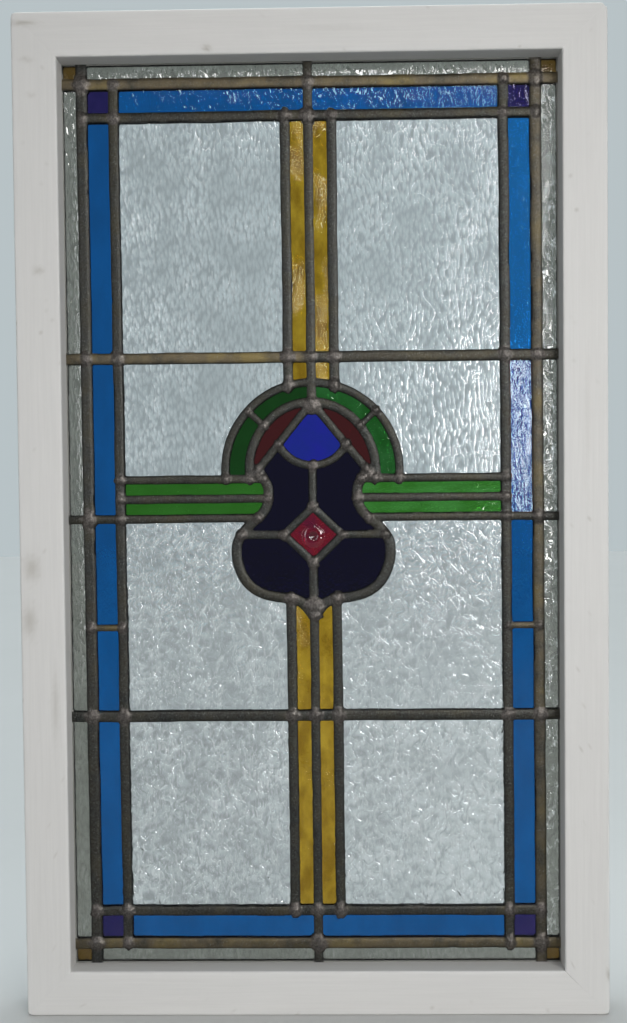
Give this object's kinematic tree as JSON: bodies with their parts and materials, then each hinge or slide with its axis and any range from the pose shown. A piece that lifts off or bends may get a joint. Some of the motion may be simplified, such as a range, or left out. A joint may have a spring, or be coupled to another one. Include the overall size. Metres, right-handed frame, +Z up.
{
  "type": "stained glass window",
  "caption": "Leaded stained glass window in a white painted timber frame, with blue borders, amber and green stripes and a shield motif under an arch.",
  "frame": {"origin": "middle of the underside of the frame, half way through its thickness", "axes": "+X to the right seen from the front, +Y to the back, +Z up; the front faces -Y"},
  "size_m": [0.421, 0.034, 0.72],
  "materials": {
    "painted_timber": "white brushed paint, satin, with smudges",
    "lead": "dull grey lead with brown and golden patina, solder at the joints",
    "putty": "matt putty, painted",
    "clear_glass": "colourless cathedral glass with a rippled face",
    "blue_glass": "cobalt blue, nearly smooth",
    "amber_glass": "amber with wisps",
    "purple_glass": "violet, nearly smooth",
    "green_glass": "green with a light ripple",
    "dark_red_glass": "deep red, smooth",
    "cobalt_glass": "strong blue, finely speckled",
    "navy_glass": "nearly black blue, smooth and glossy",
    "ruby_glass": "ruby with a pressed boss"
  },
  "bodies": {
    "root": {"frame_stile_left": "painted_timber", "frame_stile_right": "painted_timber", "frame_rail_bottom": "painted_timber", "frame_rail_top": "painted_timber", "putty_fillet": "putty", "lead_cames": "lead", "clear_edge_strip_left": "clear_glass", "clear_edge_strip_right": "clear_glass", "clear_edge_strip_top": "clear_glass", "clear_edge_strip_bottom": "clear_glass", "clear_pane_upper_left": "clear_glass", "clear_pane_upper_right": "clear_glass", "clear_pane_arch_left": "clear_glass", "clear_pane_arch_right": "clear_glass", "clear_pane_waist_left": "clear_glass", "clear_pane_waist_right": "clear_glass", "clear_pane_lower_left": "clear_glass", "clear_pane_lower_right": "clear_glass", "purple_corner_top_left": "purple_glass", "purple_corner_top_right": "purple_glass", "purple_corner_bottom_left": "purple_glass", "purple_corner_bottom_right": "purple_glass", "blue_border_top_left": "blue_glass", "blue_border_top_right": "blue_glass", "blue_border_bottom_left": "blue_glass", "blue_border_bottom_right": "blue_glass", "blue_border_side_1_left": "blue_glass", "blue_border_side_1_right": "blue_glass", "blue_border_side_2_left": "blue_glass", "blue_border_side_2_right": "blue_glass", "blue_border_side_3_left": "blue_glass", "blue_border_side_3_right": "blue_glass", "blue_border_side_4_left": "blue_glass", "blue_border_side_4_right": "blue_glass", "blue_border_side_5_left": "blue_glass", "blue_border_side_5_right": "blue_glass", "amber_stripe_upper_left": "amber_glass", "amber_stripe_upper_right": "amber_glass", "amber_tip_left": "amber_glass", "amber_tip_right": "amber_glass", "amber_stripe_middle_left": "amber_glass", "amber_stripe_middle_right": "amber_glass", "amber_stripe_lower_left": "amber_glass", "amber_stripe_lower_right": "amber_glass", "green_arm_upper_left": "green_glass", "green_arm_upper_right": "green_glass", "green_arm_lower_left": "green_glass", "green_arm_lower_right": "green_glass", "green_arch_low_left": "green_glass", "green_arch_low_right": "green_glass", "green_arch_high_left": "green_glass", "green_arch_high_right": "green_glass", "red_crescent_left": "dark_red_glass", "red_crescent_right": "dark_red_glass", "blue_fan": "cobalt_glass", "navy_upper_left": "navy_glass", "navy_upper_right": "navy_glass", "navy_lower_left": "navy_glass", "navy_lower_right": "navy_glass", "red_diamond": "ruby_glass"}
  },
  "joints": []
}
